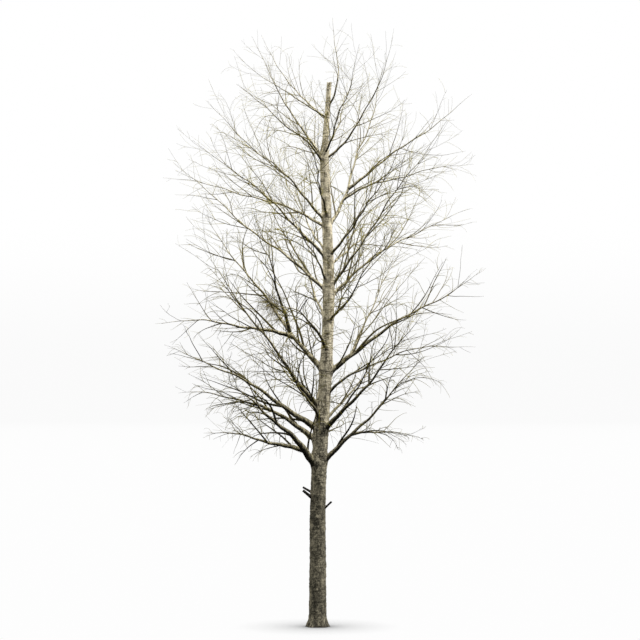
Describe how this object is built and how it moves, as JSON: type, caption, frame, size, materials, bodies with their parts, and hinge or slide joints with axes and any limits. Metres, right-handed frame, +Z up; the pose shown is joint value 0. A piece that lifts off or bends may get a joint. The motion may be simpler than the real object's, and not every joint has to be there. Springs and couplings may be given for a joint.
{
  "type": "bare poplar tree",
  "caption": "Leafless young poplar standing in the ground: tall tapering trunk with a clear stem, rising boughs and an open oval crown of fine twigs",
  "frame": {"origin": "middle of the flat cut where the trunk meets the ground", "axes": "+Z up along the trunk, +X to the right and +Y away as seen in the picture"},
  "size_m": [7.0089, 6.5548, 12.9302],
  "materials": {
    "trunk_bark": "rough grey-brown bark, mottled, with faint rings and pores",
    "bough_bark": "smoother dark brown bark",
    "twig_bark": "smooth golden to grey-brown twigs"
  },
  "bodies": {
    "root": {"trunk": "trunk_bark", "bough_left_1": "bough_bark", "bough_right_1": "bough_bark", "bough_back_1": "bough_bark", "bough_left_3": "bough_bark", "bough_front_1": "bough_bark", "bough_left_4": "bough_bark", "bough_left_5": "bough_bark", "bough_right_4": "bough_bark", "bough_left_6": "bough_bark", "bough_front_4": "bough_bark", "bough_right_5": "bough_bark", "bough_left_8": "bough_bark", "bough_left_9": "bough_bark", "bough_front_7": "bough_bark", "bough_back_8": "bough_bark", "twigs_left_1": "twig_bark", "twigs_left_2": "twig_bark", "twigs_right_1": "twig_bark", "twigs_right_2": "twig_bark", "twigs_back_1": "twig_bark", "twigs_left_3": "twig_bark", "twigs_front_1": "twig_bark", "twigs_left_4": "twig_bark", "twigs_back_2": "twig_bark", "twigs_front_2": "twig_bark", "twigs_back_3": "twig_bark", "twigs_left_5": "twig_bark", "twigs_right_3": "twig_bark", "twigs_right_4": "twig_bark", "twigs_back_4": "twig_bark", "twigs_left_6": "twig_bark", "twigs_left_7": "twig_bark", "twigs_front_3": "twig_bark", "twigs_front_4": "twig_bark", "twigs_back_5": "twig_bark", "twigs_front_5": "twig_bark", "twigs_right_5": "twig_bark", "twigs_left_8": "twig_bark", "twigs_right_6": "twig_bark", "twigs_front_6": "twig_bark", "twigs_back_6": "twig_bark", "twigs_left_9": "twig_bark", "twigs_front_7": "twig_bark", "twigs_back_7": "twig_bark", "twigs_back_8": "twig_bark", "twigs_right_7": "twig_bark", "twigs_right_8": "twig_bark", "twigs_left_10": "twig_bark", "twigs_left_11": "twig_bark", "twigs_front_8": "twig_bark", "twigs_back_9": "twig_bark", "twigs_front_9": "twig_bark", "twigs_right_9": "twig_bark", "twigs_left_12": "twig_bark", "twigs_front_10": "twig_bark", "twigs_back_10": "twig_bark", "twigs_left_13": "twig_bark", "twigs_left_14": "twig_bark", "twigs_top": "twig_bark"}
  },
  "joints": []
}
